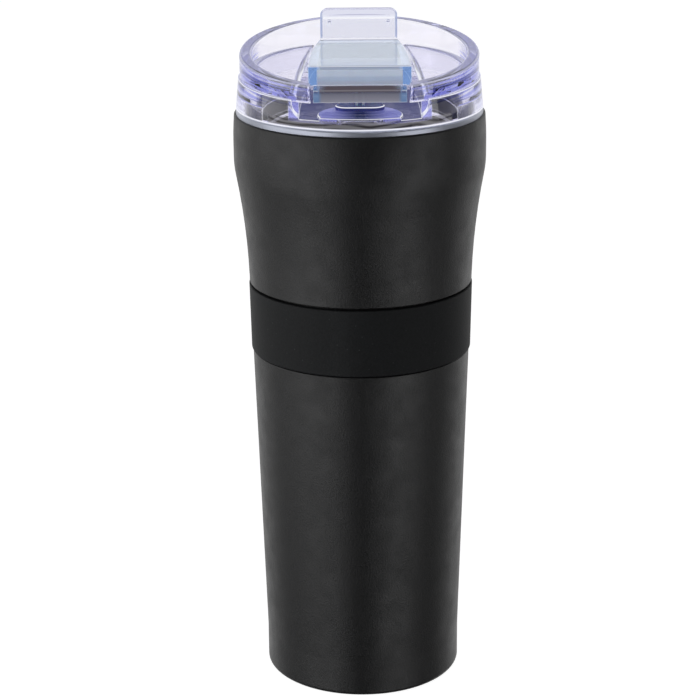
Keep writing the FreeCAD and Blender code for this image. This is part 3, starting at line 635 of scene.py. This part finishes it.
def softbox(name, side_deg, height, distance, size, power):
    """A rectangular lamp that faces the tumbler; side_deg turns from the front, to +X when positive."""
    data = bpy.data.lights.new(name, "AREA")
    data.shape = "RECTANGLE"
    data.size, data.size_y = size
    data.energy = power
    obj = bpy.data.objects.new(name, data)
    bpy.context.scene.collection.objects.link(obj)
    side = math.radians(side_deg)
    target = (cad_box[0] + cad_box[1]) / 2
    obj.location = target + Vector((math.sin(side) * distance, -math.cos(side) * distance, height))
    obj.rotation_mode = "QUATERNION"
    obj.rotation_quaternion = (target - obj.location).to_track_quat("-Z", "Z")


def grey_levels(room, value, stops):
    """Levels of grey against a direction's share along one axis, from -1 to 1."""
    node = room.add("ShaderNodeValToRGB", Fac=room.spread(value, -1.0, 1.0))
    node.color_ramp.interpolation = "EASE"
    marks = node.color_ramp.elements
    while len(marks) < len(stops):
        marks.new(0.5)
    for mark, (where, level) in zip(marks, stops):
        mark.position = (where + 1) / 2
        mark.color = (level, level, level, 1.0)
    return node.outputs["Color"]


def backdrop_world():
    """White for the camera.

    Other rays meet a white backdrop behind, a dim room in front and a dark ceiling.
    """
    world = bpy.data.worlds.new("studio")
    world.use_nodes = True
    room = Nodes(world.node_tree)
    direction = room.add("ShaderNodeTexCoord").outputs["Generated"]
    along = room.add("ShaderNodeSeparateXYZ", Vector=direction).outputs
    ray = room.add("ShaderNodeLightPath").outputs
    depth = grey_levels(room, along["Y"], BACKDROP_STOPS)
    ceiling = grey_levels(room, along["Z"], CEILING_STOPS)
    dim = room.blend(1.0, depth, ceiling, how="MULTIPLY")
    lifted = room.blend(ray["Is Transmission Ray"], dim, THROUGH_LEVEL, how="LIGHTEN")
    colour = room.blend(ray["Is Camera Ray"], lifted, WHITE)
    background = room.add("ShaderNodeBackground", Color=colour)
    room.add("ShaderNodeOutputWorld", Surface=background.outputs[0])
    bpy.context.scene.world = world


def floor_finish():
    """White paper that glows into the backdrop, and still takes a faint contact shadow."""
    s = Shader("floor_paper")
    fibre = s.noise(1.5 * MM, detail=3.0)
    paper = s.add("ShaderNodeBsdfDiffuse", Color=s.blend(fibre, (0.86, 0.86, 0.86), (0.9, 0.9, 0.9)))
    glow = s.add("ShaderNodeEmission", Strength=FLOOR_GLOW)
    s.show(s.mixed(0.5, paper, glow))
    return s.material


def floor():
    """A round sheet under the tumbler."""
    mesh = bpy.data.meshes.new("floor")
    builder = bmesh.new()
    bmesh.ops.create_circle(builder, cap_ends=True, segments=96, radius=FLOOR_R)
    builder.to_mesh(mesh)
    builder.free()
    mesh.materials.append(floor_finish())
    obj = bpy.data.objects.new("floor", mesh)
    obj.location.z = cad_box[0].z
    obj.visible_diffuse = False
    obj.visible_glossy = False
    bpy.context.scene.collection.objects.link(obj)


def light_paths():
    """How many times light may bounce and pass through the clear parts."""
    scene = bpy.context.scene
    scene.view_settings.view_transform = "Standard"
    scene.cycles.max_bounces = BOUNCES
    scene.cycles.transmission_bounces = BOUNCES
    scene.cycles.transparent_max_bounces = BOUNCES
    scene.cycles.glossy_bounces = 12
    scene.cycles.diffuse_bounces = 4
    scene.cycles.volume_bounces = 0


def studio():
    """Floor, backdrop, lamps and camera."""
    floor()
    backdrop_world()
    softbox("key", side_deg=-60.0, height=-0.1, distance=1.0, size=(0.8, 1.6), power=8.2)
    softbox("fill", side_deg=47.0, height=-0.3, distance=1.1, size=(0.5, 1.4), power=5.4)
    softbox("brow", side_deg=-4.0, height=0.85, distance=0.85, size=(1.3, 0.12), power=1.4)
    camera()
    light_paths()


finish_nodes()
wet_insert()
studio()
